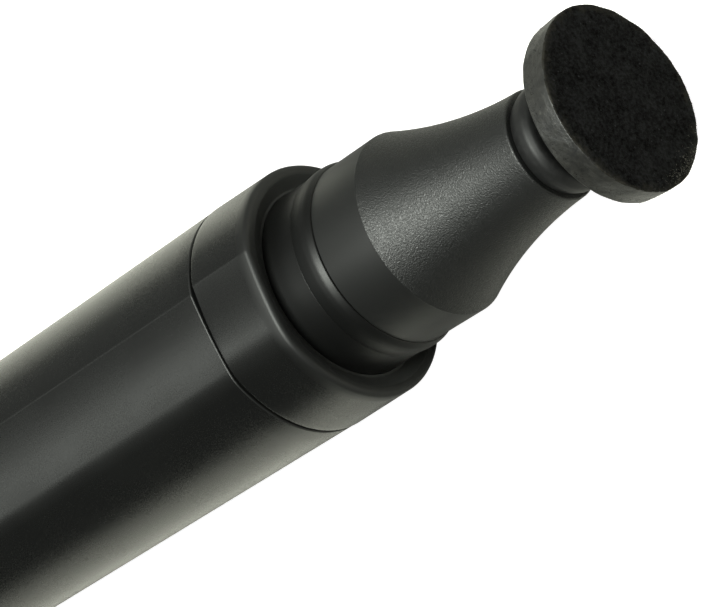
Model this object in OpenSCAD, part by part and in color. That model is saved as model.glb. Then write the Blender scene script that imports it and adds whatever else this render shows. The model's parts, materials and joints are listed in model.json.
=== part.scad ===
// Lens cleaning pen: a suede pad on a flexible neck at one end, a retractable brush at
// the other, and a pull-off cap that holds the sponge which recharges the pad.
// The pen lies along X with its tip towards +X. X = 0 is the seam between the barrel and
// the collar, Y = 0 is the middle plane and Z = 0 is the surface that the pen lies on.

/* [Barrel] */
// Length from the seam to the rear end
barrel_len = 80; // [79:1:84]
// Outer radius at the seam
seam_r = 7.72; // [7.68:0.01:7.74]
// Outer radius at the waist
waist_r = 7.1; // [7:0.05:7.3]
// Outer radius at the rear end
rear_r = 7.62; // [7.55:0.01:7.65]
// Distance of the waist behind the seam
waist_x = 40; // [38:1:42]
// Radius of the bore
bore_r = 5.65; // [5.6:0.05:5.7]
// Length of the end bezel
bezel_len = 6; // [5.5:0.5:7]

/* [Section] */
// Height of the top panel's middle above the axis, as a share of the radius
panel_share = 0.97; // [0.964:0.002:0.974]
// Radius that the top panel is crowned to
panel_crown_r = 30; // [28:1:40]
// Depth of the collar's and cap's lower flat, as a share of the radius
under_share = 0.955; // [0.95:0.005:0.955]
// Sideways shift of each of the two arcs that make the section
arc_shift = 0.28; // [0.2:0.01:0.3]
// Height of the axis above the surface that the pen lies on
axis_z = 7.62; // [7.62:0.01:7.66]

/* [Front] */
// Length of the collar, with the seam gap
collar_len = 5.2; // [5:0.1:5.4]
// Outer radius of the collar
collar_r = 7.75; // [7.7:0.01:7.76]
// Angle that the collar is turned against the barrel
collar_turn = -4; // [-5:0.5:0]
// Width of the seam gap
seam_gap = 0.22; // [0.15:0.01:0.3]
// Radius of the spigot that the cap slides over
spigot_r = 6.15; // [6.1:0.01:6.18]
// Crest radius of the ring that grips the cap
grip_r = 6.3; // [6.28:0.01:6.34]
// Distance of the nose end in front of the seam
nose_end_x = 23.47; // [23.3:0.01:23.6]
// Radius of the nose cylinder where the cone begins
shoulder_r = 6.1; // [6.05:0.01:6.15]
// Distance of the shoulder, where the cone begins, in front of the seam
shoulder_x = 12.9; // [12.5:0.1:13.2]
// Radius of the nose at its end
nose_end_r = 3.68; // [3.6:0.01:3.75]
// Radius of the hollow curve of the cone
flare_r = 29; // [27:1:34]

/* [Tip] */
// Distance of the pad's face in front of the seam
pad_x = 29.6; // [29.5:0.05:29.7]
// Radius of the suede face
suede_r = 6; // [5.8:0.05:6]
// Radius of the foam behind it
foam_r = 5.92; // [5.7:0.02:5.92]
// Thickness of the suede
suede_t = 0.7; // [0.6:0.05:0.8]
// Thickness of foam and suede together
pad_t = 1.9; // [1.85:0.05:1.95]
// Angle that the pad leans up at rest
pad_lean = 2; // [0:0.5:3.5]
// Distance of the neck's pivot in front of the seam
pivot_x = 25.9; // [25.85:0.05:25.95]

/* [Brush] */
// Travel of the brush and its slider
brush_travel = 15; // [12:0.5:15]
// Distance of the slider's middle behind the seam, brush drawn in
slider_x = 42; // [41:0.5:42.5]
// Length of the slider
slider_len = 13; // [11:0.5:13]
// Width of the slider
slider_w = 6.4; // [5.6:0.2:6.6]
// Width of the slot in the barrel
slot_w = 3; // [2.8:0.1:3.2]
// Number of ribs on the slider
rib_count = 6; // [4:1:6]

/* [Cap] */
// Length of the cap's shell
cap_len = 31; // [31:0.5:32]
// Radius of the cap's bore
cap_bore_r = 6.86; // [6.84:0.01:6.88]
// Radius of the cap's outside at its closed end
cap_end_r = 7.5; // [7.45:0.01:7.6]
// Inner radius of the liner
liner_r = 6.42; // [6.4:0.01:6.46]
// Gap between the collar and the closed cap
cap_gap = 0.05; // [0.03:0.01:0.1]

/* [Hidden] */

$fn = 96;
far = 20;              // half-size of the blocks that cut the section
play = 0.03;           // clearance of a push fit, on the radius
running = 0.08;        // clearance of a sliding fit, on the radius

bezel_x = barrel_len - bezel_len;
bezel_r = rear_r - (rear_r - waist_r) * bezel_len / (barrel_len - waist_x);
shank_r = bore_r - play;

recess_x = 4.76;       // floor of the shallow recess in the collar's face
recess_r = 7.05;       // its outer radius
recess_floor_r = 6.32;
ring_x = 7.3;          // rear face of the grip ring
ring_seat_r = 5.75;    // groove that the ring sits in
sleeve_x = 8.65;       // front face of the sleeve, where the nose begins
sleeve_back = 14;      // how far the sleeve reaches into the barrel
sleeve_bore_r = 4.65;
groove_x = 8.72;       // front edge of the groove between ring and nose
groove_r = 6;

neck_bore_r = 2.2;
bead_x = 24.4;         // middle of the bead
bead_r = 3.6;          // its crest radius
bead_small_r = 0.72;   // radius of its rounded edge
bead_rear_r = 3.3;     // its radius against the nose
bead_face_x = bead_x + bead_small_r;
ball_r = 1.6;
socket_r = ball_r + 0.05;
holder_r = 5.3;
holder_t = 0.6;
foam_x = pad_x - pad_t;
suede_x = pad_x - suede_t;

brush_bore_r = 5.2;
carrier_r = 4.6;
carrier_back = 58;     // rear end of the carrier
carrier_front = 32;
ferrule_r = 4.2;
ferrule_back = 66;     // where the bristles leave the ferrule
bristle_end = 79.2;
socket_bore_r = 3.6;   // carrier's socket for the ferrule
tuft_bore_r = 3.75;    // ferrule's bore, which holds the bristles
tuft_x = -60;          // where the bristles begin inside it
guide_back = 66;
guide_front = 28;
guide_r = carrier_r + running;
track_z = axis_z + 6.3;   // floor of the slider's track
slider_base_z = track_z + 0.1;
slider_top_z = axis_z + 8.5;
stem_len = 8;
stem_w = slot_w - 0.4;
stem_z = axis_z + 3.2;
end_play = 0.4;        // room beyond each end of the slider's travel

cap_mouth_x = collar_len + cap_gap;
cap_end_x = cap_mouth_x + cap_len - cap_gap;
cap_pull = barrel_len - cap_end_x;
liner_back_x = collar_len + 0.15;
liner_front_x = 16;
cup_x = 30.95;
cup_bore_r = 6.45;
cup_base_x = cap_end_x - 2.6;
cup_floor_x = cup_base_x - 0.8;
cap_ledge_x = cap_end_x - 1.8;   // ledge in the shell that the end plug bears on
plug_r = 5.9;          // hole in the cap's end that the plug fills

// Raises a solid drawn about the X axis to the height of the pen's axis
module on_axis() {
    translate([0, 0, axis_z]) children();
}

// Turns a [radius, x] outline about the pen's axis
module turned(outline) {
    on_axis() rotate([0, 90, 0]) rotate_extrude() polygon(outline);
}

// Round bar along X from x0 to x1
module bar(x0, x1, r) {
    on_axis() translate([x0, 0, 0]) rotate([0, 90, 0]) cylinder(h = x1 - x0, r = r);
}

// Cone along X, with its axis off to the side by y and raised by z
module shifted_cone(x0, r0, x1, r1, y, z) {
    translate([x0, y, z]) rotate([0, 90, 0]) cylinder(h = x1 - x0, r1 = r0, r2 = r1, $fn = 180);
}

// The outside of barrel, collar and cap: two crossed cones for the sides, a wide one for the
// crowned panel on top, and a flat below, which lies under0 and under1 below the axis.
module pen_section(x0, r0, x1, r1, under0, under1) {
    crown_z = panel_share * (r0 + r1) / 2 - panel_crown_r;
    intersection() {
        shifted_cone(x0, r0 + arc_shift, x1, r1 + arc_shift, -arc_shift, 0);
        shifted_cone(x0, r0 + arc_shift, x1, r1 + arc_shift, arc_shift, 0);
        shifted_cone(x0, panel_share * r0 - crown_z, x1, panel_share * r1 - crown_z, 0, crown_z);
        rotate([90, 0, 0]) linear_extrude(height = 2 * far, center = true)
            polygon([[x0, -under0], [x1, -under1], [x1, far], [x0, far]]);
    }
}

// Block that breaks the edge at x_end by cut, and reaches back to x_back
module edge_break(x_end, x_back, r, cut) {
    inward = sign(x_back - x_end);
    turned([
        [0, x_end], [r - cut, x_end], [r + cut, x_end + inward * 2 * cut], [r + cut, x_back],
        [0, x_back]
    ]);
}

// Slab with round ends along X, from z0 to z1
module round_slab(x, length, width, z0, z1) {
    translate([x, 0, z0]) linear_extrude(height = z1 - z0) union() {
        square([length - width, width], center = true);
        for (side = [-1, 1])
            translate([side * (length - width) / 2, 0]) circle(d = width);
    }
}

module barrel() {
    track_len = slider_len + brush_travel + 2 * end_play;
    slot_len = stem_len + brush_travel + 2 * end_play;
    track_mid = -slider_x - brush_travel / 2;
    track_w = slider_w + 2 * end_play;
    color("#17181a") difference() {
        on_axis() union() {
            pen_section(-waist_x, waist_r, 0, seam_r, axis_z, axis_z);
            pen_section(-bezel_x, bezel_r, -waist_x, waist_r, axis_z, axis_z);
        }
        bar(-barrel_len, far, bore_r);
        round_slab(track_mid, track_len, track_w, track_z, 2 * far);
        round_slab(track_mid, slot_len, slot_w, axis_z, 2 * far);
    }
}

module rear_bezel() {
    lip_len = 3;           // spigot that enters the barrel
    edge_cut = 0.8;
    color("#1c1d1f") difference() {
        union() {
            intersection() {
                on_axis() pen_section(-barrel_len, rear_r, -bezel_x, bezel_r, axis_z, axis_z);
                edge_break(-barrel_len, 0, rear_r + 0.2, edge_cut);
            }
            bar(-bezel_x - 0.5, -bezel_x + lip_len, shank_r);
        }
        bar(-barrel_len - 1, -bezel_x + lip_len + 1, brush_bore_r);
    }
}

module front_collar() {
    under = under_share * collar_r;
    edge_cut = 0.3;
    color("#17181a") on_axis() rotate([collar_turn, 0, 0]) translate([0, 0, -axis_z]) difference() {
        intersection() {
            on_axis() pen_section(seam_gap, collar_r, collar_len, collar_r, under, under);
            edge_break(collar_len, 0, collar_r + 0.1, edge_cut);
        }
        bar(0, collar_len + 1, spigot_r + play);
        turned([
            [0, recess_x], [recess_floor_r, recess_x], [recess_r, collar_len],
            [recess_r, collar_len + 1], [0, collar_len + 1]
        ]);
    }
}

module spigot_sleeve() {
    color("#1b1c1e") turned([
        [sleeve_bore_r, -sleeve_back], [shank_r, -sleeve_back], [shank_r, 0], [spigot_r, 0],
        [spigot_r, ring_x], [ring_seat_r, ring_x], [ring_seat_r, sleeve_x],
        [sleeve_bore_r, sleeve_x]
    ]);
}

module cap_grip_ring() {
    inner = ring_seat_r + play;
    rear_edge_r = 6.18;
    // Crown of the ring, each point as [depth below the crest, distance behind the front face]
    crown = [[0.03, 0.8], [0, 0.6], [0, 0.45], [0.03, 0.32], [0.08, 0.2], [0.16, 0.08], [0.26, 0]];
    color("#222325") turned(concat(
        [[inner, ring_x + play], [rear_edge_r, ring_x + play]],
        [for (c = crown) [grip_r - c[0], sleeve_x - c[1]]],
        [[inner, sleeve_x]]
    ));
}

// The cone's outline is hollowed by a circle of radius flare_r through both its ends
module nose_cone() {
    chord = [nose_end_r - shoulder_r, nose_end_x - shoulder_x];
    half = norm(chord) / 2;
    reach = sqrt(flare_r * flare_r - half * half);
    outward = [chord[1], -chord[0]] / norm(chord);
    centre = [shoulder_r, shoulder_x] + chord / 2 + outward * reach;
    core_r = 3.6;          // hollow behind the neck's bore
    tail_x = 0.5;
    bore_x = 13.5;         // rear end of the neck's bore
    color("#1d1e20") on_axis() rotate([0, 90, 0]) rotate_extrude($fn = 180) difference() {
        polygon([
            [core_r, tail_x], [sleeve_bore_r - play, tail_x], [sleeve_bore_r - play, sleeve_x],
            [ring_seat_r + 0.05, sleeve_x], [groove_r, groove_x], [shoulder_r, shoulder_x],
            [shoulder_r, nose_end_x], [neck_bore_r, nose_end_x], [neck_bore_r, bore_x],
            [core_r, bore_x - 1.5]
        ]);
        translate(centre) circle(r = flare_r, $fn = 720);
    }
}

module neck_bushing() {
    core_r = bead_r - bead_small_r;
    shank_x = 14.2;        // rear end of the stem inside the nose
    skirt = 12;            // angle round the bead's edge at which the skirt behind it begins
    color("#141415") difference() {
        on_axis() rotate([0, 90, 0]) rotate_extrude() union() {
            polygon([
                [0, shank_x], [neck_bore_r - play, shank_x], [neck_bore_r - play, nose_end_x],
                [bead_rear_r, nose_end_x],
                [core_r + bead_small_r * cos(skirt), bead_x - bead_small_r * sin(skirt)],
                [core_r, bead_x],
                [core_r, bead_face_x], [0, bead_face_x]
            ]);
            translate([core_r, bead_x]) circle(r = bead_small_r);
        }
        on_axis() translate([pivot_x, 0, 0]) sphere(r = socket_r);
    }
}

module bulkhead_plug() {
    disc_t = 4;
    pilot_len = 3;         // enters the guide sleeve
    color("#2a2b2d") union() {
        bar(-guide_front, -guide_front + disc_t, shank_r);
        bar(-guide_front - pilot_len, -guide_front, carrier_r - 0.1);
    }
}

module guide_sleeve() {
    slot_front = slider_x - stem_len / 2 - 2 * end_play;
    color("#303133") difference() {
        bar(-guide_back, -guide_front, shank_r);
        bar(-guide_back - 1, -guide_front + 1, guide_r);
        translate([-guide_back - 1, -slot_w / 2, axis_z])
            cube([guide_back + 1 - slot_front, slot_w, far]);
    }
}

module neck_ball() {
    color("#141415") on_axis() translate([pivot_x, 0, 0]) sphere(r = ball_r);
}

// Leans the pad and its holder back about the neck's pivot
module leaning() {
    on_axis() translate([pivot_x, 0, 0]) rotate([0, -pad_lean, 0])
        translate([-pivot_x, 0, -axis_z]) children();
}

module pad_holder() {
    stem_r = 1.9;
    stem_x = pivot_x + 0.6;
    color("#1a1a1b") leaning() difference() {
        turned([
            [0, stem_x], [stem_r, stem_x], [stem_r, foam_x - holder_t - 0.3],
            [stem_r + 0.3, foam_x - holder_t],
            [holder_r, foam_x - holder_t], [holder_r, foam_x], [0, foam_x]
        ]);
        on_axis() translate([pivot_x, 0, 0]) sphere(r = socket_r);
    }
}

module foam_pad() {
    color("#3a3836") leaning() bar(foam_x, suede_x, foam_r);
}

module suede_face() {
    edge = 0.1;
    color("#101010") leaning() turned([
        [0, suede_x], [suede_r, suede_x], [suede_r, pad_x - edge], [suede_r - edge, pad_x],
        [0, pad_x]
    ]);
}

module brush_carrier() {
    socket_len = 5;        // socket for the ferrule's tail
    front_hollow_r = 3.4;
    waist = carrier_r - 0.4;
    color("#262729") difference() {
        turned([
            [0, -carrier_back], [carrier_r, -carrier_back], [carrier_r, -carrier_back + 6],
            [waist, -carrier_back + 7], [waist, -carrier_front - 5],
            [carrier_r, -carrier_front - 4], [carrier_r, -carrier_front], [0, -carrier_front]
        ]);
        bar(-carrier_back - 1, -carrier_back + socket_len, socket_bore_r);
        bar(-carrier_front - 3, -carrier_front + 1, front_hollow_r);
        round_slab(-slider_x, stem_len, stem_w, stem_z, far);
    }
}

module brush_ferrule() {
    crimp = 0.25;
    crimp_x = -63.05;      // middle of the crimped band
    tail_r = socket_bore_r - play;
    tail_x = -carrier_back + 4.8;
    color("#b9bcc0") turned([
        [tuft_bore_r, -ferrule_back], [ferrule_r, -ferrule_back], [ferrule_r, crimp_x - 0.55],
        [ferrule_r - crimp, crimp_x - 0.25], [ferrule_r - crimp, crimp_x + 0.25],
        [ferrule_r, crimp_x + 0.55], [ferrule_r, -carrier_back], [tail_r, -carrier_back],
        [tail_r, tail_x], [0, tail_x], [0, tuft_x], [tuft_bore_r, tuft_x]
    ]);
}

module bristles() {
    root_r = tuft_bore_r - 0.05;
    color("#c9b48c") turned([
        [0, tuft_x - 0.1], [root_r, tuft_x - 0.1], [root_r, -ferrule_back],
        [4.3, -70], [4.7, -74.5], [4.6, -77], [4, -78.4], [2.6, -79], [0, -bristle_end]
    ]);
}

module thumb_slider() {
    rib_pitch = 1.5;
    rib_h = 0.45;
    rib_w = 0.7;
    rib_len = slider_w - 1.6;
    color("#1f2022") union() {
        round_slab(-slider_x, slider_len, slider_w, slider_base_z, slider_top_z - rib_h);
        for (i = [0 : rib_count - 1])
            translate([-slider_x + (i - (rib_count - 1) / 2) * rib_pitch, 0, slider_top_z - rib_h])
                cube([rib_w, rib_len, 2 * rib_h], center = true);
        round_slab(-slider_x, stem_len, stem_w, stem_z, slider_base_z);
    }
}

// Everything in the cap is drawn where it sits when closed, then pulled off the pen
module pulled_off() {
    translate([cap_pull, 0, 0]) children();
}

module cap_shell() {
    mouth_r = collar_r - 0.03;
    edge_cut = 1;
    color("#17181a") pulled_off()
        on_axis() rotate([collar_turn, 0, 0]) translate([0, 0, -axis_z]) difference() {
            intersection() {
                on_axis() pen_section(cap_mouth_x, mouth_r, cap_end_x, cap_end_r,
                    under_share * mouth_r, under_share * cap_end_r);
                edge_break(cap_end_x, 0, cap_end_r + 0.2, edge_cut);
            }
            bar(0, cap_ledge_x, cap_bore_r);
            bar(0, cap_end_x + 1, plug_r);
        }
}

module cap_liner() {
    outer = cap_bore_r - play;
    color("#26272a") pulled_off() turned([
        [liner_r + 0.12, liner_back_x], [outer - 0.12, liner_back_x],
        [outer, liner_back_x + 0.4], [outer, liner_front_x], [liner_r, liner_front_x],
        [liner_r, liner_back_x + 0.4]
    ]);
}

module charge_cup() {
    outer = cap_bore_r - play;
    color("#303236") pulled_off() turned([
        [0, cup_base_x], [outer, cup_base_x], [outer, cup_x], [cup_bore_r, cup_x],
        [cup_bore_r, cup_floor_x], [0, cup_floor_x]
    ]);
}

module carbon_sponge() {
    edge = 0.5;
    sponge_x = cup_x + 0.15;
    sponge_r = cup_bore_r - 0.05;
    color("#0c0c0d") pulled_off() turned([
        [0, sponge_x], [sponge_r - edge, sponge_x], [sponge_r, sponge_x + edge],
        [sponge_r, cup_floor_x], [0, cup_floor_x]
    ]);
}

module cap_end_plug() {
    outer = cap_bore_r - play;
    face_x = cap_end_x - 0.15;
    dish_r = 4.6;
    dish = 0.3;            // depth of the shallow dish in its end
    color("#202124") pulled_off() turned([
        [0, cup_base_x], [outer, cup_base_x], [outer, cap_ledge_x], [plug_r - play, cap_ledge_x],
        [plug_r - play, face_x - 0.2], [plug_r - 0.3, face_x], [dish_r, face_x],
        [dish_r - 0.5, face_x - dish], [0, face_x - dish]
    ]);
}

barrel();
rear_bezel();
front_collar();
spigot_sleeve();
cap_grip_ring();
nose_cone();
neck_bushing();
bulkhead_plug();
guide_sleeve();
neck_ball();
pad_holder();
foam_pad();
suede_face();
brush_carrier();
brush_ferrule();
bristles();
thumb_slider();
cap_shell();
cap_liner();
charge_cup();
carbon_sponge();
cap_end_plug();
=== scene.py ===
"""Looks for the lens cleaning pen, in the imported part's frame.

Shapes are worked out in millimetres and turned into metres when their mesh is made. Materials and the
studio are in metres.
"""
import json
import math
import bmesh
import bpy
import numpy as np
from mathutils import Matrix, Vector


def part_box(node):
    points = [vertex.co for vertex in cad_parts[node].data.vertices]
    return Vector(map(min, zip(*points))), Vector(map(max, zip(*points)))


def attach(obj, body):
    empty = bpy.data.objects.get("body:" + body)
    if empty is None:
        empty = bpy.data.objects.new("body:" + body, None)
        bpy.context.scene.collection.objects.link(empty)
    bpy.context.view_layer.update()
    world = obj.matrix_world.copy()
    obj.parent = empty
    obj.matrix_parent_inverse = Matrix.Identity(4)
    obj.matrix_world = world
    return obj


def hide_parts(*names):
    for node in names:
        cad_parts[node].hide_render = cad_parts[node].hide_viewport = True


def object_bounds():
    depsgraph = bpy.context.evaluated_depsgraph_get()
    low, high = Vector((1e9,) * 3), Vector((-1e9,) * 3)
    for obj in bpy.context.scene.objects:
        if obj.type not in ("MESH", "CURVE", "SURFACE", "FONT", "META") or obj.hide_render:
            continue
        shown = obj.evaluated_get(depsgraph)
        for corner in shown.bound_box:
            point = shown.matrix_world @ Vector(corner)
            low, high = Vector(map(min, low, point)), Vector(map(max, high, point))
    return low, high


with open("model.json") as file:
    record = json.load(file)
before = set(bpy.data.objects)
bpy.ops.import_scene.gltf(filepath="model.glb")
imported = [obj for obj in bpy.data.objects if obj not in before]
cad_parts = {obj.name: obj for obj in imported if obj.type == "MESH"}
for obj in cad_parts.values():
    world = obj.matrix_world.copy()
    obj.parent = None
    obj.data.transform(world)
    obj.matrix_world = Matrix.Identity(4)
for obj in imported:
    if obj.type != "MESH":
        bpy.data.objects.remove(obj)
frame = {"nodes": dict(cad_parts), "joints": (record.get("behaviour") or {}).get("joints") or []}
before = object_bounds()
NODES = frame["nodes"]
MM = 0.001


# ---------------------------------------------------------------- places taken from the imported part
def coords(node):
    return np.array([v.co for v in NODES[node].data.vertices], float).reshape(-1, 3)


def span(node):
    """Where a CAD node begins and ends along the pen, in millimetres."""
    lo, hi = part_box(node)
    return round(lo.x / MM, 3), round(hi.x / MM, 3)


bead_lo, bead_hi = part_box("neck_bushing")
AXIS_Z = (bead_lo.z + bead_hi.z) / 2
AXIS_MM = AXIS_Z / MM
nose = coords("nose_cone")
nose_r = np.hypot(nose[:, 1], nose[:, 2] - AXIS_Z)
SHOULDER_X = float(nose[nose_r > nose_r.max() - 0.02 * MM, 0].max())
SHOULDER_R = float(nose_r.max())
NOSE_END_X = float(nose[:, 0].max())
BARREL_X = span("barrel")
BEZEL_X = span("rear_bezel")
COLLAR_X = span("front_collar")
CAP_X = span("cap_shell")
BEAD_X = span("neck_bushing")
RING_X = span("cap_grip_ring")
NOSE_REAR_X = span("nose_cone")[0]
PIVOT_X = next(j for j in frame["joints"] if j["name"] == "neck_nod")["pos_m"][0] / MM

# the pad leans up about the neck's pivot; PAD_X is its front, along its own axis
PAD_X = 29.6
LEAN = math.radians(2.0)


# ---------------------------------------------------------------- node helpers
def empty_tree(owner, output):
    """The cleared node tree of a material or world, and the surface input of its new output."""
    owner.use_nodes = True
    t = owner.node_tree
    t.nodes.clear()
    return t, t.nodes.new(output).inputs["Surface"]


def new_material(name):
    """A material with one principled shader: the material, its tree and the shader."""
    m = bpy.data.materials.new(name)
    t, surface = empty_tree(m, "ShaderNodeOutputMaterial")
    p = t.nodes.new("ShaderNodeBsdfPrincipled")
    t.links.new(p.outputs[0], surface)
    return m, t, p


def node(t, kind, ins=None, **props):
    """A new node; each input is given a socket to link from or a value."""
    n = t.nodes.new(kind)
    for k, v in props.items():
        setattr(n, k, v)
    for k, v in (ins or {}).items():
        if isinstance(v, bpy.types.NodeSocket):
            t.links.new(v, n.inputs[k])
        else:
            n.inputs[k].default_value = v
    return n


def place(t):
    return node(t, "ShaderNodeTexCoord").outputs["Object"]


def part_of(t, at, axis):
    """One coordinate of a place: 0 is x, 1 is y, 2 is z."""
    return node(t, "ShaderNodeSeparateXYZ", {0: at}).outputs[axis]


def math_node(t, op, a, b=0.0):
    return node(t, "ShaderNodeMath", {0: a, 1: b}, operation=op).outputs[0]


def vector_node(t, op, a, b):
    return node(t, "ShaderNodeVectorMath", {0: a, 1: b}, operation=op).outputs[0]


def noise(t, at, scale, detail=3.0, rough=0.55, stretch=None):
    """Noise with scale features a metre. An axis with a stretch below 1 has longer ones."""
    if stretch:
        at = vector_node(t, "MULTIPLY", at, stretch)
    ins = {"Vector": at, "Scale": scale, "Detail": detail, "Roughness": rough}
    return node(t, "ShaderNodeTexNoise", ins).outputs[0]


def remap(t, value, from_a, from_b, to_a, to_b):
    """The value on a straight line from from_a, which gives to_a, to from_b, which gives to_b."""
    ins = {"Value": value, "From Min": from_a, "From Max": from_b, "To Min": to_a, "To Max": to_b}
    return node(t, "ShaderNodeMapRange", ins).outputs[0]


def bump(t, height, distance, normal=None):
    ins = {"Height": height, "Distance": distance, "Strength": 1.0}
    if normal is not None:
        ins["Normal"] = normal
    return node(t, "ShaderNodeBump", ins).outputs[0]


def edge_round(t, radius):
    return node(t, "ShaderNodeBevel", {"Radius": radius}, samples=6).outputs[0]


def mix_color(t, share, a, b):
    """Colour a where share is 0, b where it is 1; each is a socket or (r, g, b)."""
    a, b = (v if isinstance(v, bpy.types.NodeSocket) else (*v, 1) for v in (a, b))
    return node(t, "ShaderNodeMix", {0: share, 6: a, 7: b}, data_type="RGBA").outputs[2]


def times(color, factor):
    return tuple(v * factor for v in color)


# ---------------------------------------------------------------- materials
PLASTIC_TINT = (0.97, 1.0, 0.96)
GREY = (1.0, 1.0, 1.0)
SMALL_EDGE = 0.05 * MM
POLISH_DEPTH = 0.0015 * MM


def drifting(t, at, scale, base):
    """Black plastic's colour, which drifts slowly by 15% each way, and the noise that it follows."""
    drift = noise(t, at, scale, detail=2)
    dark, light = times(PLASTIC_TINT, base * 0.85), times(PLASTIC_TINT, base * 1.15)
    return mix_color(t, drift, dark, light), drift


def satin(name, base, rough, grain=0.0, spec=0.5, dull=None):
    """Moulded black plastic: faint tone drift, fine moulding grain, softly broken edges. With
    dull = (x0, x1, more), its roughness grows by more between x0 and x1 mm."""
    spread = 0.02
    m, t, p = new_material(name)
    at = place(t)
    color, drift = drifting(t, at, 180, base)
    fine = noise(t, at, 9000, detail=4, rough=0.6)
    flow = noise(t, at, 2600, rough=0.5, stretch=(0.12, 1, 1))
    t.links.new(color, p.inputs["Base Color"])
    slow_rough = remap(t, drift, 0.3, 0.7, rough - spread, rough + spread)
    r = math_node(t, "ADD", slow_rough, remap(t, fine, 0.3, 0.7, -spread, spread))
    if dull:
        x0, x1, more = dull
        r = math_node(t, "ADD", r, remap(t, part_of(t, at, 0), x0 * MM, x1 * MM, 0, more))
    t.links.new(r, p.inputs["Roughness"])
    p.inputs["Specular IOR Level"].default_value = spec
    n = bump(t, flow, POLISH_DEPTH, edge_round(t, 0.06 * MM))
    t.links.new(bump(t, fine, (0.0012 + grain) * MM, n), p.inputs["Normal"])
    return m


def eroded_nose(name, base, rough_smooth, rough_grain):
    """The nose: satin on its cylinder, spark-eroded grain from the shoulder on."""
    grain_depth, pit_share = 0.030 * MM, 0.5
    m, t, p = new_material(name)
    at = place(t)
    grain_on = remap(t, part_of(t, at, 0), SHOULDER_X - 0.02 * MM, SHOULDER_X + 0.05 * MM, 0, 1)
    coarse = noise(t, at, 8500, detail=2.5, rough=0.65)
    fine = noise(t, at, 11000, rough=0.65)
    pits = node(t, "ShaderNodeTexVoronoi", {"Vector": at, "Scale": 15000.0}, feature="SMOOTH_F1").outputs[0]
    t.links.new(drifting(t, at, 200, base)[0], p.inputs["Base Color"])
    r = remap(t, grain_on, 0, 1, rough_smooth, rough_grain)
    sandy = math_node(t, "MULTIPLY", remap(t, fine, 0.35, 0.65, -0.16, 0.12), grain_on)
    t.links.new(math_node(t, "ADD", r, sandy), p.inputs["Roughness"])
    h = math_node(t, "ADD", coarse, math_node(t, "MULTIPLY", pits, pit_share))
    h = math_node(t, "MULTIPLY", h, grain_on)
    n = bump(t, noise(t, at, 9000), POLISH_DEPTH, edge_round(t, SMALL_EDGE))
    t.links.new(bump(t, h, grain_depth, n), p.inputs["Normal"])
    return m


def rubber(name, base, rough):
    """Smooth black rubber with paler, duller dust on it."""
    dusty = 2.2
    m, t, p = new_material(name)
    dust = noise(t, place(t), 3000, detail=5, rough=0.7)
    color = mix_color(t, remap(t, dust, 0.5, 0.8, 0, 1), times(GREY, base), times(GREY, base * dusty))
    t.links.new(color, p.inputs["Base Color"])
    t.links.new(remap(t, dust, 0.3, 0.8, rough - 0.03, rough + 0.12), p.inputs["Roughness"])
    p.inputs["Specular IOR Level"].default_value = 0.37
    t.links.new(bump(t, dust, 0.004 * MM, edge_round(t, SMALL_EDGE)), p.inputs["Normal"])
    return m


def worn_rim(t, at, color, radius, height, worn):
    """Blends color towards worn, raggedly, beyond a radius about an axis along X at this height."""
    ragged_by, inside, outside, most = 0.5 * MM, 0.45 * MM, 0.35 * MM, 0.75
    across = vector_node(t, "MULTIPLY", vector_node(t, "SUBTRACT", at, (0, 0, height)), (0, 1, 1))
    reach = node(t, "ShaderNodeVectorMath", {0: across}, operation="LENGTH").outputs["Value"]
    ragged = remap(t, noise(t, at, 1500, detail=4, rough=0.7), 0.3, 0.7, -ragged_by, ragged_by)
    reach = math_node(t, "ADD", reach, ragged)
    return mix_color(t, remap(t, reach, radius - inside, radius + outside, 0, most), color, worn)


def cloth(name, dark, light, scale, depth, rough=0.9, sheen=0.0, spec=0.06, worn=None):
    """Nap of suede, foam or sponge: dark hollows, lighter fibre ends and a few pale specks. With
    worn = (radius, height, color), its rim has that colour."""
    m, t, p = new_material(name)
    at = place(t)
    small = math_node(t, "MULTIPLY", noise(t, at, scale, detail=5, rough=0.7), 0.7)
    large = math_node(t, "MULTIPLY", noise(t, at, scale * 0.22, rough=0.6), 0.3)
    pile = remap(t, math_node(t, "ADD", small, large), 0.40, 0.62, 0, 1)
    speck = node(t, "ShaderNodeTexVoronoi", {"Vector": at, "Scale": scale * 0.35}).outputs[0]
    color = mix_color(t, pile, dark, light)
    color = mix_color(t, remap(t, speck, 0.10, 0.05, 0, 0.5), color, times(light, 3))
    if worn:
        color = worn_rim(t, at, color, *worn)
    t.links.new(color, p.inputs["Base Color"])
    p.inputs["Roughness"].default_value = rough
    p.inputs["Specular IOR Level"].default_value = spec
    p.inputs["Sheen Weight"].default_value = sheen
    p.inputs["Sheen Roughness"].default_value = 0.5
    t.links.new(bump(t, pile, depth), p.inputs["Normal"])
    return m


def brushed(name, base):
    """Drawn metal of the ferrule, with fine rings round it."""
    m, t, p = new_material(name)
    at = place(t)
    rings = noise(t, at, 900, detail=4, rough=0.6, stretch=(14, 0.6, 0.6))
    stain = noise(t, at, 500)
    color = mix_color(t, stain, times(GREY, base * 0.8), (base, base * 1.01, base * 1.03))
    t.links.new(color, p.inputs["Base Color"])
    p.inputs["Metallic"].default_value = 1
    t.links.new(remap(t, rings, 0.3, 0.7, 0.22, 0.42), p.inputs["Roughness"])
    t.links.new(bump(t, rings, 0.004 * MM, edge_round(t, SMALL_EDGE)), p.inputs["Normal"])
    return m


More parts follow.
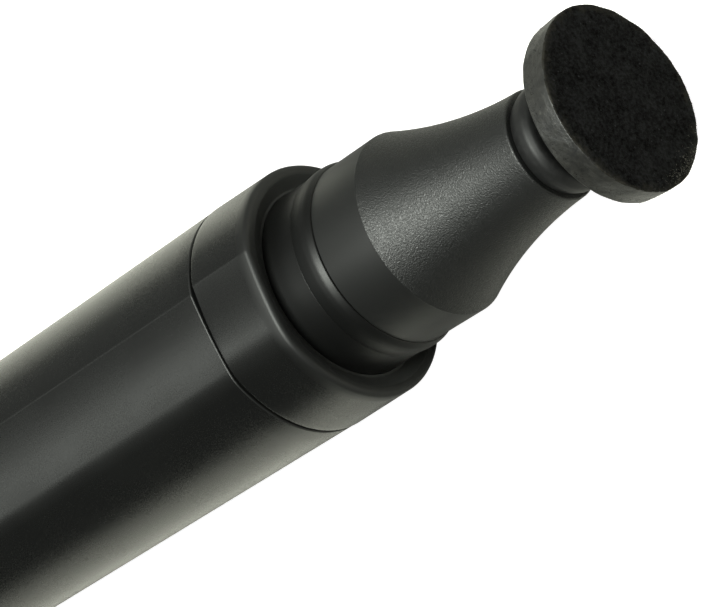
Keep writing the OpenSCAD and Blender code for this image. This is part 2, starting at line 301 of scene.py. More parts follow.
def hair(name, pale, tan, root):
    """Goat hair: shafts between pale and tan, darker towards the root."""
    m, t, p = new_material(name)
    at = place(t)
    lo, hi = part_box("bristles")
    strand = noise(t, at, 2500, detail=2, rough=0.5, stretch=(0.05, 1, 1))
    rootward = remap(t, part_of(t, at, 0), lo.x, hi.x, 0.0, 0.55)
    color = mix_color(t, rootward, mix_color(t, strand, tan, pale), root)
    t.links.new(color, p.inputs["Base Color"])
    p.inputs["Roughness"].default_value = 0.45
    return m


M_BARREL = satin("satin_barrel", 0.0034, 0.27)
M_COLLAR = satin("satin_collar", 0.0034, 0.27, dull=(4.2, 5.15, 0.30))
M_SPIGOT = satin("satin_spigot", 0.0022, 0.42, grain=0.0005, spec=0.29)
M_EDGE = satin("moulded_edge", 0.0045, 0.50, grain=0.0005)
# paler colour for the collar's recess: painted light in the recess
M_RECESS_PAINTED_LIGHT = satin("recess_painted_light", 0.020, 0.60, grain=0.0005)
M_NOSE = eroded_nose("grained_nose", 0.0048, 0.44, 0.50)
M_RUBBER = rubber("neck_rubber_black", 0.006, 0.50)
M_INNER = satin("plain_inner_plastic", 0.012, 0.42, grain=0.001)
M_SLIDER = satin("satin_slider", 0.006, 0.36, grain=0.0006)
M_FERRULE = brushed("drawn_ferrule", 0.62)
M_HAIR = hair("goat_hair", (0.62, 0.52, 0.36), (0.30, 0.21, 0.12), (0.12, 0.075, 0.04))

CUT_EDGE = dict(dark=(0.002, 0.0019, 0.0016), light=(0.016, 0.0154, 0.0130), scale=2200.0,
                depth=0.015 * MM, rough=0.43, spec=0.78)
FIBRE = dict(scale=3400.0, depth=0.01 * MM)
WORN_SUEDE = (6.0 * MM, AXIS_Z + 0.13 * MM, (0.040, 0.037, 0.030))
M_SUEDE = cloth("suede_nap", (0.0004, 0.0004, 0.0004), (0.0207, 0.0208, 0.0220), 3800.0, 0.05 * MM,
                rough=0.95, worn=WORN_SUEDE)
M_FOAM = cloth("foam_edge", **CUT_EDGE)
M_CUT = cloth("cut_suede_edge", **CUT_EDGE)
M_NAP = cloth("suede_fibre", (0.004, 0.004, 0.0038), (0.026, 0.026, 0.024), **FIBRE)
M_LINT = cloth("pale_lint", (0.030, 0.029, 0.024), (0.180, 0.172, 0.145), **FIBRE)
M_SPONGE = cloth("carbon_sponge_pores", (0.0015, 0.0015, 0.0016), (0.012, 0.012, 0.013), 2200.0,
                 0.08 * MM, sheen=0.1)

LOOK = {
    "barrel": M_BARREL, "rear_bezel": M_BARREL, "cap_shell": M_BARREL, "cap_end_plug": M_BARREL,
    "front_collar": M_COLLAR, "spigot_sleeve": M_SPIGOT, "cap_grip_ring": M_SPIGOT,
    "nose_cone": M_NOSE, "neck_bushing": M_RUBBER, "neck_ball": M_RUBBER,
    "pad_holder": M_INNER, "bulkhead_plug": M_INNER, "guide_sleeve": M_INNER,
    "brush_carrier": M_INNER, "cap_liner": M_INNER, "charge_cup": M_INNER,
    "foam_pad": M_FOAM, "suede_face": M_SUEDE, "carbon_sponge": M_SPONGE,
    "brush_ferrule": M_FERRULE, "bristles": M_HAIR, "thumb_slider": M_SLIDER,
}
for name, obj in NODES.items():
    obj.data.materials.clear()
    obj.data.materials.append(LOOK[name])


# ---------------------------------------------------------------- mesh helpers, in millimetres
SHARP = 32
SOFT_SHARP = 60
TURNED_SIDES = 256


def add_object(name, data):
    o = bpy.data.objects.new(name, data)
    bpy.context.scene.collection.objects.link(o)
    return o


def add_piece(name, mesh, body, replaces=()):
    """The mesh as a piece that rides on a body and stands for the CAD nodes that it replaces."""
    o = add_object(name, mesh)
    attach(o, body)
    if replaces:
        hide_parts(*replaces)
    return o


def mark_sharp(bm, degrees):
    """Marks the edges whose faces meet at more than this angle as sharp, and the rest as smooth."""
    for e in bm.edges:
        e.smooth = len(e.link_faces) == 2 and e.calc_face_angle(0) < math.radians(degrees)


def finish_mesh(name, verts, faces, material, body, replaces, sharp=SHARP, second=None):
    """A closed mesh as a piece: outward normals, smooth but for its real edges. With
    second = (material, rule), faces whose centres the rule picks have that material."""
    me = bpy.data.meshes.new(name)
    me.from_pydata((np.asarray(verts, float) * MM).tolist(), [], faces)
    me.validate()
    bm = bmesh.new()
    bm.from_mesh(me)
    bmesh.ops.remove_doubles(bm, verts=bm.verts, dist=1e-7)
    bmesh.ops.recalc_face_normals(bm, faces=bm.faces)
    for f in bm.faces:
        f.smooth = True
    mark_sharp(bm, sharp)
    bm.to_mesh(me)
    bm.free()
    me.materials.append(material)
    if second:
        me.materials.append(second[0])
        centres = np.array([p.center for p in me.polygons]) / MM
        me.polygons.foreach_set("material_index", second[1](centres).astype(np.int32))
    return add_piece(name, me, body, replaces)


def fibre_mesh(name, verts, faces, material, body, replaces=()):
    """Many thin solids in one smooth mesh, as a piece."""
    me = bpy.data.meshes.new(name)
    me.from_pydata((verts.reshape(-1, 3) * MM).tolist(), [], faces)
    me.polygons.foreach_set("use_smooth", [True] * len(me.polygons))
    me.materials.append(material)
    return add_piece(name, me, body, replaces)


def ring(x, r, a, z=AXIS_MM):
    """Points about an axis along X at height z; r is one radius, or one for each angle of a."""
    return np.stack([np.full(len(a), x), r * np.cos(a), r * np.sin(a) + z], 1)


def loop_faces(rings, seg):
    """Quads that join rings of seg points, each to the next and the last to the first."""
    j = np.arange(seg)
    k = (j + 1) % seg
    out = []
    for i in range(rings):
        n = (i + 1) % rings
        out += np.stack([i * seg + j, i * seg + k, n * seg + k, n * seg + j], 1).tolist()
    return out


def fillet(points):
    """Rounds the corners of an (x, r, radius) polyline; a corner with radius 0 stays sharp."""
    steps = 5
    most = 0.49  # of the shorter side, so that two fillets never meet
    out = []
    for i, (x, r, f) in enumerate(points):
        p = np.array([x, r], float)
        if f <= 0:
            out.append(tuple(p))
            continue
        a = np.array(points[i - 1][:2], float) - p
        b = np.array(points[(i + 1) % len(points)][:2], float) - p
        la, lb = np.linalg.norm(a), np.linalg.norm(b)
        a, b = a / la, b / lb
        half = math.acos(max(-1, min(1, float(a @ b)))) / 2
        cut_back = min(f / math.tan(half), la * most, lb * most)
        f = cut_back * math.tan(half)
        centre = p + (a + b) / np.linalg.norm(a + b) * (f / math.sin(half))
        start, end = p + a * cut_back - centre, p + b * cut_back - centre
        for t in np.linspace(0, 1, steps + 1):
            v = start * (1 - t) + end * t
            out.append(tuple(centre + v / np.linalg.norm(v) * f))
    return out


def turned(name, points, material, body, replaces):
    """A ring-shaped solid turned about the pen's axis from a closed (x, r, fillet) outline."""
    outline = fillet(points)
    a = np.linspace(0, 2 * np.pi, TURNED_SIDES, endpoint=False)
    verts = np.concatenate([ring(x, r, a) for x, r in outline])
    return finish_mesh(name, verts, loop_faces(len(outline), TURNED_SIDES), material, body, replaces)


# ---------------------------------------------------------------- the pen's section
SEAM_R, WAIST_R, REAR_R = 7.72, 7.1, 7.62
WAIST_X = -40.0
COLLAR_R, CAP_MOUTH_R, CAP_END_R = 7.75, 7.72, 7.5
ARC_SHIFT, PANEL_SHARE, CROWN_R, UNDER_SHARE = 0.28, 0.97, 30.0, 0.955
PANEL_HALF, UNDER_ROUND = 21, 0.10
# how far the panel's far and near edges are rounded; the collar's panel is also fuller and more crowned
BARREL_EDGES, BEZEL_EDGES, CAP_EDGES = (0.03, 0.20), (0.03, 0.15), (0.03, 0.15)
COLLAR_EDGES = (0.03, 0.34, 0.977, 23.0)
# collar and cap are turned against the barrel
TURN = math.radians(-4)


def ray(a, cy, cz, r):
    """Distance from the axis, at angle a, to a circle of radius r centred on (cy, cz)."""
    b = np.cos(a) * cy + np.sin(a) * cz
    return b + np.sqrt(b * b - (cy * cy + cz * cz) + r * r)


def soft_min(a, b, k):
    """The smaller of a and b, rounded where they are within k of each other."""
    h = np.clip(0.5 + 0.5 * (b - a) / k, 0, 1)
    return b + (a - b) * h - k * h * (1 - h)


def section(a, radius, under, far_edge, near_edge, share=PANEL_SHARE, crown=CROWN_R):
    """Distance from the axis to the surface at angle a: two arcs, the crowned panel on top and
    the flat below, with the panel's far and near edges rounded by their own amounts."""
    arc_r = radius + ARC_SHIFT
    arcs = np.minimum(ray(a, -ARC_SHIFT, 0, arc_r), ray(a, ARC_SHIFT, 0, arc_r))
    panel = ray(a, 0, share * radius - crown, crown)
    r = soft_min(arcs, panel, np.where(np.cos(a) > 0, far_edge, near_edge))
    below, nowhere = -np.sin(a), 99.0
    down = np.where(below > 0.5, under / np.maximum(below, 0.5), nowhere)
    return soft_min(r, down, UNDER_ROUND)


def section_angles():
    """Angles round the section, close together at the panel's edges."""
    even = np.linspace(0, 2 * np.pi, 288, endpoint=False)
    near_edges = [math.radians(90 + s * PANEL_HALF) + np.radians(np.arange(-5, 5.01, 0.35))
                  for s in (-1, 1)]
    return np.unique(np.round(np.concatenate([even, *near_edges]), 5))


def skin(x0, x1, edge0, edge1, steps):
    """Points along the outside from x0 to x1, rounded by edge0 and edge1 at its ends: (x, inset)."""
    q = np.radians(np.linspace(0, 90, 7))
    start = [(x0 + edge0 * (1 - math.sin(t)), edge0 * (1 - math.cos(t))) for t in q[::-1]]
    end = [(x1 - edge1 * (1 - math.sin(t)), edge1 * (1 - math.cos(t))) for t in q]
    mid = [(x, 0.0) for x in np.linspace(x0 + edge0, x1 - edge1, steps)[1:-1]]
    return start + mid + end


def lofted(name, outer, inner, radius_at, under_at, edges, material, body, replaces, turn=0, second=None):
    """A shell with the pen's section outside, given as (x, inset), and round steps inside, given as
    (x, r, fillet) and going back from the end where the outside stops."""
    a = section_angles()
    rings = [ring(x, section(a, radius_at(x), under_at(x), *edges) - inset, a + turn)
             for x, inset in outer]
    first, last = outer[0][0], outer[-1][0]
    steps = fillet([(last, radius_at(last), 0), *inner, (first, radius_at(first), 0)])
    rings += [ring(x, r, a + turn) for x, r in steps[1:-1]]
    faces = loop_faces(len(rings), len(a))
    return finish_mesh(name, np.concatenate(rings), faces, material, body, replaces,
                       second=second)


# ---------------------------------------------------------------- barrel, bezel, collar and cap
BORE_R, BEZEL_BORE_R, BRUSH_HOLE_R = 5.65, 5.62, 5.2
TRACK_X, TRACK_LENGTH, TRACK_WIDTH, TRACK_FLOOR = -49.5, 28.8, 7.2, 6.3
SLOT_LENGTH, SLOT_WIDTH = 23.8, 3.0
COLLAR_BORE_R, RECESS_X = 6.17, 4.76
# the collar's recess ahead of this x and within this radius gets the paler colour: painted light
RECESS_LIGHT_X, RECESS_LIGHT_R = 4.6, 7.15
CAP_BORE_R, END_LIP_R, END_LIP_DEPTH = 6.86, 5.9, 1.8


def barrel_radius(x):
    return float(np.interp(x, [BEZEL_X[0], WAIST_X, BARREL_X[1]], [REAR_R, WAIST_R, SEAM_R]))


def barrel_under(x):
    """The underside is flat wherever the barrel is thick enough to reach what it lies on."""
    return AXIS_MM


def collar_radius(x):
    return COLLAR_R


def cap_radius(x):
    mouth, end = CAP_X
    return CAP_MOUTH_R + (CAP_END_R - CAP_MOUTH_R) * (x - mouth) / (end - mouth)


def round_slab(name, x, length, width, z0, z1):
    """Upright slab with round ends along X, used to cut the slider's track and slot."""
    end_r = width / 2
    half = (length - width) / 2
    pts = [(x + s * (half + end_r * math.cos(q)), s * end_r * math.sin(q))
           for s in (1, -1) for q in np.radians(np.linspace(-90, 90, 25))]
    n = len(pts)
    verts = [(px * MM, py * MM, z * MM) for z in (z0, z1) for px, py in pts]
    sides = [[i, (i + 1) % n, n + (i + 1) % n, n + i] for i in range(n)]
    me = bpy.data.meshes.new(name)
    me.from_pydata(verts, [], [list(range(n))[::-1], list(range(n, 2 * n)), *sides])
    return add_object(name, me)


def cut(piece, cutters):
    """Cuts each cutter out of the piece and removes it."""
    for c in cutters:
        m = piece.modifiers.new("cut", "BOOLEAN")
        m.operation, m.solver, m.object = "DIFFERENCE", "EXACT", c
    bpy.context.view_layer.update()
    made = bpy.data.meshes.new_from_object(piece.evaluated_get(bpy.context.evaluated_depsgraph_get()))
    piece.modifiers.clear()
    piece.data = made
    bm = bmesh.new()
    bm.from_mesh(made)
    mark_sharp(bm, SHARP)
    bm.to_mesh(made)
    bm.free()
    for c in cutters:
        bpy.data.objects.remove(c)


def make_barrel():
    """The barrel, whose edge at the seam is duller, with the slider's track and slot cut in its top."""
    rear, seam = BARREL_X
    edge_depth, above = 0.11, 30
    barrel = lofted(
        "barrel_shell", skin(rear, seam, edge0=0.08, edge1=0.10, steps=46),
        [(seam, BORE_R, 0.1), (rear, BORE_R, 0.1)],
        barrel_radius, barrel_under, BARREL_EDGES, M_BARREL, "root", ["barrel"],
        second=(M_EDGE, lambda c: c[:, 0] > seam - edge_depth))
    cut(barrel, [
        round_slab("track_cut", TRACK_X, TRACK_LENGTH, TRACK_WIDTH, AXIS_MM + TRACK_FLOOR, above),
        round_slab("slot_cut", TRACK_X, SLOT_LENGTH, SLOT_WIDTH, AXIS_MM, above)])


def make_bezel():
    """The end ring: a skirt inside the barrel and a round hole for the brush."""
    rear, skirt_end = BEZEL_X
    seam = BARREL_X[0]
    lofted("bezel_shell", skin(rear, seam, edge0=0.75, edge1=0.08, steps=12),
           [(seam, BEZEL_BORE_R, 0.05), (skirt_end, BEZEL_BORE_R, 0.15), (skirt_end, BRUSH_HOLE_R, 0.1),
            (rear, BRUSH_HOLE_R, 0.35)],
           barrel_radius, barrel_under, BEZEL_EDGES, M_BARREL, "root", ["rear_bezel"])


def make_collar():
    """The collar, turned against the barrel, with a shallow recess in its front whose surface has a paler
    colour as painted light.
    """
    rear, front = COLLAR_X
    lofted("collar_shell", skin(rear, front, edge0=0.08, edge1=0.32, steps=12),
           [(front, 7.12, 0.3), (4.98, 6.74, 0.4), (RECESS_X, 6.34, 0.12), (RECESS_X, COLLAR_BORE_R, 0.0),
            (rear, COLLAR_BORE_R, 0.05)],
           collar_radius, lambda x: UNDER_SHARE * COLLAR_R, COLLAR_EDGES, M_COLLAR, "root",
           ["front_collar"], TURN,
           (M_RECESS_PAINTED_LIGHT, lambda c: (c[:, 0] > RECESS_LIGHT_X) & (np.hypot(c[:, 1], c[:, 2] - AXIS_MM) < RECESS_LIGHT_R)))


def make_cap():
    """The cap's tube, which narrows a little towards its end, where a lip holds the plug."""
    mouth, end = CAP_X
    lip = end - END_LIP_DEPTH
    lofted("cap_skin", skin(mouth, end, edge0=0.12, edge1=0.95, steps=30),
           [(end, END_LIP_R, 0.1), (lip, END_LIP_R, 0.0), (lip, CAP_BORE_R, 0.0),
            (mouth, CAP_BORE_R, 0.12)],
           cap_radius, lambda x: UNDER_SHARE * cap_radius(x), CAP_EDGES, M_BARREL, "cap",
           ["cap_shell"], TURN)


# ---------------------------------------------------------------- nose, grip ring and neck
NOSE_BORE_R, NOSE_END_BORE_R, NOSE_STEM_R = 3.6, 2.2, 4.62
NOSE_END_R, NOSE_FLARE_R = 3.68, 29.0
RING_FRONT_X, RING_SEAT_R = 8.98, 5.74
BEAD_R, STEM_R, SOCKET_R = 3.60, 2.16, 1.65


def make_nose():
    """The nose: a cylinder, then a cone hollowed by an arc of radius NOSE_FLARE_R, and a stepped bore."""
    start = np.array([SHOULDER_X, SHOULDER_R]) / MM
    end = np.array([NOSE_END_X / MM, NOSE_END_R])
    chord = end - start
    half = np.linalg.norm(chord) / 2
    out = np.array([-chord[1], chord[0]]) / (2 * half)
    centre = start + chord / 2 + out * math.sqrt(NOSE_FLARE_R ** 2 - half ** 2)
    xs = np.linspace(start[0], end[0], 42)[:-1]
    rs = centre[1] - np.sqrt(NOSE_FLARE_R ** 2 - (xs - centre[0]) ** 2)
    shoulder_fillet = 0.12
    cone = [(x, r, 0.0 if i else shoulder_fillet) for i, (x, r) in enumerate(zip(xs, rs))]
    step_x, lip_x = RING_X[1], RING_FRONT_X + 0.01
    rear = [(NOSE_REAR_X, NOSE_BORE_R, 0), (NOSE_REAR_X, NOSE_STEM_R, 0.1), (step_x, NOSE_STEM_R, 0),
            (step_x, RING_SEAT_R, 0), (lip_x, RING_SEAT_R, 0), (lip_x, 6.03, 0.03)]
    front = [(end[0], NOSE_END_R, 0.13), (end[0], NOSE_END_BORE_R, 0.05), (13.5, NOSE_END_BORE_R, 0),
             (12.0, NOSE_BORE_R, 0)]
    turned("nose_skin", rear + cone + front, M_NOSE, "root", ["nose_cone"])


def make_grip_ring():
    """The ring at the spigot's front, which swells gently and then falls away to the nose."""
    rear, inner_r = RING_X[0], RING_SEAT_R + 0.04
    turned("grip_ring_skin",
           [(rear, inner_r, 0), (rear, 6.19, 0.02), (8.15, 6.285, 1.4), (8.56, 6.26, 0.9),
            (8.95, 6.11, 0.08), (RING_FRONT_X, 6.05, 0), (RING_FRONT_X, inner_r, 0)],
           M_SPIGOT, "root", ["cap_grip_ring"])


def make_bead():
    """The neck bushing: a stem in the nose and a soft full bead in front of it, with the ball's socket."""
    rear, front = BEAD_X
    bead_rear = 23.5
    socket = [(PIVOT_X - SOCKET_R * math.cos(t), SOCKET_R * math.sin(t), 0)
              for t in np.radians(np.arange(60, 3, -4))]
    outline = [(rear, 0.05, 0), (rear, STEM_R, 0.2), (bead_rear, STEM_R, 0), (bead_rear, 3.3, 0),
               (24.05, 3.54, 1.2), (24.62, BEAD_R, 0.5), (front, 3.30, 0.45), (front, 1.7, 0.1)]
    turned("neck_bead", outline + socket, M_RUBBER, "root", ["neck_bushing"])


# ---------------------------------------------------------------- soft discs and fibres
def wave(rng, octaves, length):
    """Smooth random function of points, a sum of seeded plane waves about length mm long."""
    k = rng.normal(size=(octaves, 3))
    k /= np.linalg.norm(k, axis=1)[:, None]
    k *= (2 * np.pi / (length * rng.uniform(0.6, 1.6, octaves)))[:, None]
    phase = rng.uniform(0, 2 * np.pi, octaves)
    return lambda p: np.sin(p @ k.T + phase).sum(1) / math.sqrt(octaves)


def disc_solid(x_rear, x_front, radius, edge, rings, seg, rear_r=None):
    """Points and faces of a solid disc about X, with a fine mesh on its front and side."""
    rear_r = radius if rear_r is None else rear_r
    hub, rear_edge = 0.05, 0.12
    q = np.radians(np.linspace(0, 90, 6))
    line = [(x_rear, r) for r in np.linspace(hub, rear_r - rear_edge, 8)]
    line += [(x_rear + rear_edge * (1 - math.cos(t)), rear_r - rear_edge + rear_edge * math.sin(t))
             for t in q]
    line += list(zip(np.linspace(x_rear + 0.15, x_front - edge - 0.02, 18),
                     np.linspace(rear_r, radius, 18)))
    line += [(x_front - edge + edge * math.sin(t), radius - edge + edge * math.cos(t)) for t in q]
    line += [(x_front, r) for r in np.linspace(radius - edge, hub, rings)[1:]]
    a = np.linspace(0, 2 * np.pi, seg, endpoint=False)
    verts = np.concatenate([ring(x, r, a, 0) for x, r in line])
    last = (len(line) - 1) * seg
    faces = loop_faces(len(line), seg)[:last]
    rear_hub, front_hub = len(verts), len(verts) + 1
    verts = np.vstack([verts, [line[0][0], 0, 0], [line[-1][0], 0, 0]])
    faces += [[rear_hub, (i + 1) % seg, i] for i in range(seg)]
    faces += [[front_hub, last + i, last + (i + 1) % seg] for i in range(seg)]
    return verts, faces


def lean(v):
    """From the pad's own frame (its axis on X) to the pen's frame, leant up about the neck's pivot."""
    x, z = v[:, 0] - PIVOT_X, v[:, 2]
    c, s = math.cos(LEAN), math.sin(LEAN)
    return np.stack([PIVOT_X + x * c - z * s, v[:, 1], AXIS_MM + x * s + z * c], 1)


def roughen(verts, rng, radial, axial, radius):
    """Uneven outline and slightly lumpy faces, as cut foam and leather have."""
    slow, mid, fine = wave(rng, 9, 7.0), wave(rng, 14, 1.3), wave(rng, 20, 0.35)
    r = np.hypot(verts[:, 1], verts[:, 2])
    rim_share = np.clip(r / radius, 0, 1) ** 6
    ragged = 0.6 * slow(verts) + 0.35 * mid(verts) + 0.08 * fine(verts)
    out = verts.copy()
    out[:, 1:] *= (1 + rim_share * radial * ragged / radius)[:, None]
    out[:, 0] += axial * (0.5 * mid(verts) + 0.5 * fine(verts))
    return out


def to_length(v, length):
    return v * (length / np.linalg.norm(v, axis=1))[:, None]


def pad_fibres(name, root, reach, widths, material, slot, rng):
    """Short tapered fibres on the leant pad: each is a closed three-sided sliver with one bend."""
    n = len(root)
    base, tip = lean(root), lean(root + reach)
    width, bend = rng.uniform(*widths, n), rng.normal(0, 0.02, n)
    d = tip - base
    side = to_length(np.cross(d, rng.normal(size=(n, 3))), 1)
    other = to_length(np.cross(d, side), 1)
    mid = base + d * 0.55 + side * bend[:, None]
    v = []
    for centre, w in ((base, width), (mid, width * 0.8)):
        for t in 2 * np.pi * np.arange(3) / 3:
            v.append(centre + (side * math.cos(t) + other * math.sin(t)) * w[:, None])
    v.append(tip)
    unit = [[0, 2, 1], [0, 1, 4, 3], [1, 2, 5, 4], [2, 0, 3, 5], [3, 4, 6], [4, 5, 6], [5, 3, 6]]
    faces = [[i * len(v) + k for k in f] for i in range(n) for f in unit]
    fibre_mesh(name, np.stack(v, 1), faces, material, "tip")


# ---------------------------------------------------------------- pad
FOAM_R, FOAM_REAR_R, SUEDE_R = 6.10, 5.98, 6.11
FOAM_REAR, FOAM_FRONT, SUEDE_REAR = 2.0, 0.6, 0.7  # behind the pad's front
CUT_DEPTH = 0.08
PAD_SIDES, PAD_SEED = 300, 11
OUTLINE_WOBBLE, FOAM_LUMPS, SUEDE_LUMPS = 0.05, 0.006, 0.014
NAP_COUNT, FRINGE_COUNT, LINT_COUNT = 9000, 1500, 190


def on_cut_edge(centres):
    """Which places on the pad are behind its napped face, on the suede's cut edge."""
    p = centres - np.array([PIVOT_X, 0, AXIS_MM])
    return p[:, 0] * math.cos(LEAN) + p[:, 2] * math.sin(LEAN) + PIVOT_X < PAD_X - CUT_DEPTH


def nap(rng, n):
    """Roots and reaches of the fibres on the pad's face, which lie in slowly changing directions."""
    r, a = 6.06 * np.sqrt(rng.uniform(0, 1, n)), rng.uniform(0, 2 * np.pi, n)
    root = ring(PAD_X - 0.02, r, a, 0)
    lay = wave(rng, 8, 3.0)(root)
    forward, sideways, upward = rng.uniform(0.25, 1, n), rng.normal(0, 0.5, n), rng.normal(0, 0.5, n)
    reach = np.stack([forward, sideways + 0.25 * lay, upward - 0.2], 1)
    return root, to_length(reach, rng.uniform(0.05, 0.17, n))


def fringe(rng, n):
    """Roots and reaches of the short fibres that stand out round the pad's rim."""
    a, x = rng.uniform(0, 2 * np.pi, n), rng.uniform(PAD_X - 1.8, PAD_X, n)
    forward, sideways, upward = rng.normal(0, 0.5, n), rng.normal(0, 0.6, n), rng.normal(0, 0.6, n)
    reach = np.stack([forward, np.cos(a) + sideways, np.sin(a) + upward], 1)
    return ring(x, 6.03, a, 0), to_length(reach, rng.uniform(0.06, 0.18, n))


def lint(rng, n):
    """Roots and reaches of the pale lint, which gathers where the near lower edge is worn."""
    a = np.radians(rng.normal(206, 14, n))
    root = ring(PAD_X - 0.01, 5.98 - np.abs(rng.normal(0, 0.42, n)), a, 0)
    reach = np.stack([rng.uniform(0.1, 0.8, n), rng.normal(0, 0.6, n), rng.normal(0, 0.6, n)], 1)
    return root, to_length(reach, rng.uniform(0.05, 0.14, n))


def make_pad():
    """Foam and suede discs, given the same uneven outline by the same seed, and the fibres on them."""
    rng = np.random.default_rng(PAD_SEED)
    v, f = disc_solid(PAD_X - FOAM_REAR, PAD_X - FOAM_FRONT, FOAM_R, edge=0.03, rings=10,
                      seg=PAD_SIDES, rear_r=FOAM_REAR_R)
    v = lean(roughen(v, rng, OUTLINE_WOBBLE, FOAM_LUMPS, FOAM_R))
    foam = finish_mesh("foam_disc", v, f, M_FOAM, "tip", ["foam_pad"], SOFT_SHARP)
    v, f = disc_solid(PAD_X - SUEDE_REAR, PAD_X, SUEDE_R, edge=0.14, rings=64, seg=PAD_SIDES)
    v = lean(roughen(v, np.random.default_rng(PAD_SEED), OUTLINE_WOBBLE, SUEDE_LUMPS, FOAM_R))
    suede = finish_mesh("suede_disc", v, f, M_SUEDE, "tip", ["suede_face"], SOFT_SHARP,
                        (M_CUT, on_cut_edge))
    face, rim, worn = nap(rng, NAP_COUNT), fringe(rng, FRINGE_COUNT), lint(rng, LINT_COUNT)
    pad_fibres("worn_lint", *worn, (0.014, 0.030), M_LINT, "suede", rng)
    pad_fibres("suede_nap", *face, (0.006, 0.013), M_NAP, "suede", rng)
    pad_fibres("rim_fuzz", *rim, (0.005, 0.010), M_NAP, "foam", rng)


# ---------------------------------------------------------------- sponge and brush
def make_sponge():
    """The sponge in the cap: a disc whose front, towards the pad, has pores and a fine unevenness."""
    rng = np.random.default_rng(5)
    lo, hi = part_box("carbon_sponge")
    thick, radius, count = (hi.x - lo.x) / MM, (hi.y - lo.y) / 2 / MM, 420
    v, f = disc_solid(0, thick, radius, edge=0.45, rings=90, seg=260)
    pore_r, pore_a = 6.1 * np.sqrt(rng.uniform(0, 1, count)), rng.uniform(0, 2 * np.pi, count)
    size, deep = rng.uniform(0.07, 0.24, count), rng.uniform(0.05, 0.16, count)
    front = v[:, 0] > thick - 0.1
    for y, z, s, d in zip(pore_r * np.cos(pore_a), pore_r * np.sin(pore_a), size, deep):
        q = ((v[:, 1] - y) ** 2 + (v[:, 2] - z) ** 2) / (s * s)
        v[:, 0] -= np.where(front, d * np.exp(-q), 0)
    v[:, 0] += np.where(front, 0.02 * wave(rng, 20, 0.5)(v), 0)
    v[:, 0] = hi.x / MM - v[:, 0]
    v[:, 2] += AXIS_MM
    sponge = finish_mesh("sponge_disc", v, f, M_SPONGE, "cap", ["carbon_sponge"],
                         sharp=80)


TUFT_X, TUFT_R = [-79.2, -77, -74.5, -70, -66, -60], [4.2, 4.45, 4.5, 4.1, 3.6, 3.55]
TUFT_MOST_R = 4.6
HAIR_ROOT_X, HAIR_TIP_X, TUFT_DOME = -60.3, -79.1, 2.4
HAIR_AT, HAIR_R = [0, 0.7, 1], [0.055, 0.045, 0.012]


def make_bristles():
    """The brush's tuft: thin four-sided hairs that fill it and end in a dome."""
    rng = np.random.default_rng(23)
    n, steps, sides = 1500, 8, 4
    u = np.sqrt(rng.uniform(0, 1, n))
    a = rng.uniform(0, 2 * np.pi, n)
    dome = TUFT_DOME * (1 - np.sqrt(np.clip(1 - u * u, 0, 1)))
    tip_x = HAIR_TIP_X + dome + rng.normal(0, 0.18, n).clip(-0.1, 1.2)
    t = np.linspace(0, 1, steps)
    x = HAIR_ROOT_X + (tip_x[:, None] - HAIR_ROOT_X) * t
    tuft = np.interp(x, TUFT_X, TUFT_R)
    wobble = rng.normal(0, 0.10, (n, 2))[:, None, :] * (t * t)[None, :, None]
    y = tuft * u[:, None] * np.cos(a)[:, None] + wobble[..., 0]
    z = tuft * u[:, None] * np.sin(a)[:, None] + wobble[..., 1]
    inward = np.minimum(1, TUFT_MOST_R / np.maximum(np.hypot(y, z), 1e-6))
    y, z = y * inward, z * inward
    w = np.interp(t, HAIR_AT, HAIR_R)[None, :, None] * rng.uniform(0.8, 1.2, (n, 1, 1))
    q = 2 * np.pi * np.arange(sides) / sides
    v = np.stack([
        np.broadcast_to(x[..., None], (n, steps, sides)),
        y[..., None] + w * np.cos(q),
        z[..., None] + w * np.sin(q) + AXIS_MM], -1)
    walls = loop_faces(steps, sides)[:(steps - 1) * sides]
    last = (steps - 1) * sides
    unit = [*walls, list(range(sides)), list(range(last, last + sides))[::-1]]
    faces = [[i * steps * sides + k for k in f] for i in range(n) for f in unit]
    fibre_mesh("hair_tuft", v, faces, M_HAIR, "brush", ["bristles"])


make_barrel()
make_bezel()
make_collar()
make_cap()
make_nose()
make_grip_ring()
make_bead()
make_pad()
make_sponge()
make_bristles()


# ---------------------------------------------------------------- studio
# the light's faint green-yellow cast
CAST = (0.955, 1.0, 0.925)
WORLD_NEAR, WORLD_FAR = 0.10, 0.30
WHITE = (1, 1, 1, 1)
FLOOR_HALF, FLOOR_GAP = 3.0, 0.00002
LIGHT_AIM = Vector((0.0, 0.0, 0.0076))


def seen_or_lit(t, lit, seen, surface):
    """The camera sees one shader and everything else, such as the pen's gloss, the other."""
    ray_kind = node(t, "ShaderNodeLightPath").outputs["Is Camera Ray"]
    pick = node(t, "ShaderNodeMixShader", {0: ray_kind, 1: lit, 2: seen})
    t.links.new(pick.outputs[0], surface)


def floor_material():
    """Pale floor that looks white. What it gives back to the pen is warm beside it, with painted shade in
    its lit colour: a painted shadow darkest under the seam, and painted shade falling to grey on both
    sides."""
    m = bpy.data.materials.new("pale_floor")
    t, surface = empty_tree(m, "ShaderNodeOutputMaterial")
    at = place(t)
    x, side = part_of(t, at, 0), math_node(t, "ABSOLUTE", part_of(t, at, 1))
    warm = mix_color(t, noise(t, at, 12, detail=2), (0.63, 0.615, 0.565), (0.65, 0.635, 0.585))
    # painted shadow under the seam and painted shade on both sides, in the colour that lights the pen
    rising, falling = remap(t, x, -0.012, -0.001, 0, 0.82), remap(t, x, 0.004, 0.018, 0.82, 0.30)
    painted_shade = mix_color(t, math_node(t, "MINIMUM", rising, falling), warm, (0.1, 0.1, 0.1))
    color = mix_color(t, remap(t, side, 0.016, 0.082, 0, 1), painted_shade, (0.24, 0.24, 0.225))
    lit = node(t, "ShaderNodeBsdfDiffuse", {0: color}).outputs[0]
    glow = node(t, "ShaderNodeEmission", {"Color": WHITE, "Strength": 1.0}).outputs[0]
    seen_or_lit(t, lit, node(t, "ShaderNodeAddShader", {0: lit, 1: glow}).outputs[0], surface)
    return m


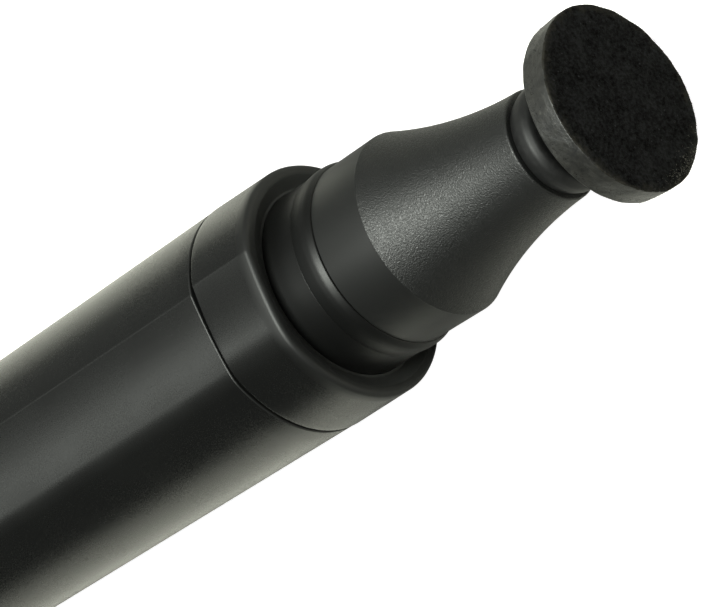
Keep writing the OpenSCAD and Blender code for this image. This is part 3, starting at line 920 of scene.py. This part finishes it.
def make_floor():
    s = FLOOR_HALF
    mesh = bpy.data.meshes.new("floor")
    mesh.from_pydata([(-s, -s, 0), (s, -s, 0), (s, s, 0), (-s, s, 0)], [], [(0, 1, 2, 3)])
    mesh.materials.append(floor_material())
    o = add_object("floor", mesh)
    o.location.z = before[0].z - FLOOR_GAP


def make_world():
    """White behind the pen; its light on the pen is dim and grows towards the far side."""
    w = bpy.data.worlds.new("studio")
    bpy.context.scene.world = w
    t, surface = empty_tree(w, "ShaderNodeOutputWorld")
    toward = node(t, "ShaderNodeTexCoord").outputs["Generated"]
    level = remap(t, part_of(t, toward, 1), -0.5, 0.7, WORLD_NEAR, WORLD_FAR)
    lit = node(t, "ShaderNodeBackground", {"Color": (*CAST, 1), "Strength": level}).outputs[0]
    seen = node(t, "ShaderNodeBackground", {"Color": WHITE, "Strength": 1.05}).outputs[0]
    seen_or_lit(t, lit, seen, surface)


def softbox(name, direction, distance, size, radiance):
    """A rectangular light in this direction from the pen, facing it; size is (along, across)."""
    back = Vector(direction).normalized()
    light = bpy.data.lights.new(name, "AREA")
    light.shape = "RECTANGLE"
    light.size, light.size_y = size
    light.energy = math.pi * size[0] * size[1] * radiance
    light.color = CAST
    o = add_object(name, light)
    o.location = LIGHT_AIM + back * distance
    across = back.cross(Vector((1, 0, 0))).normalized()
    along = across.cross(back).normalized()
    o.rotation_mode = "QUATERNION"
    o.rotation_quaternion = Matrix((along, across, back)).transposed().to_quaternion()


make_floor()
make_world()
softbox("overhead", (0.135, 0.105, 0.985), distance=0.60, size=(0.32, 0.24), radiance=31.0)
softbox("rear_strip", (-0.600, 0.098, 0.794), distance=0.70, size=(0.30, 0.085), radiance=3.6)
softbox("far_strip", (-0.600, 0.492, 0.630), distance=0.70, size=(0.30, 0.09), radiance=1.2)
softbox("front_fill", (0.970, 0.120, 0.210), distance=0.70, size=(0.30, 0.30), radiance=0.7)


# ---------------------------------------------------------------- camera
LENS, SENSOR = 462.2, 36
DISTANCE, OFF_RIGHT, OFF_UP = 0.5265, 0.01591, 0.01207
AIM = Vector((PAD_X * MM, 0, AXIS_Z))
# how far the view is turned from above towards the pad's face, and to the pen's right, and rolled
TOWARD, SIDE, ROLL = math.radians(37.1), math.radians(10.4), math.radians(33.0)


def make_camera():
    pen = Vector((1, 0, 0))
    above = Vector((0, -math.sin(SIDE), math.cos(SIDE)))
    level = Vector((0, math.cos(SIDE), math.sin(SIDE)))
    back = math.sin(TOWARD) * pen + math.cos(TOWARD) * above
    ahead = math.cos(TOWARD) * pen - math.sin(TOWARD) * above
    right = math.cos(ROLL) * ahead - math.sin(ROLL) * level
    up = math.sin(ROLL) * ahead + math.cos(ROLL) * level
    cam = add_object("camera", bpy.data.cameras.new("camera"))
    bpy.context.scene.camera = cam
    cam.data.sensor_width = SENSOR
    cam.data.lens = LENS
    cam.data.clip_start, cam.data.clip_end = 0.01, 10
    cam.rotation_mode = "QUATERNION"
    cam.rotation_quaternion = Matrix((right, up, back)).transposed().to_quaternion()
    cam.location = AIM + back * DISTANCE - right * OFF_RIGHT - up * OFF_UP


make_camera()
scene = bpy.context.scene
scene.view_settings.view_transform = "Standard"
scene.view_settings.look = "None"
scene.view_settings.exposure = 0
scene.cycles.max_bounces = 8
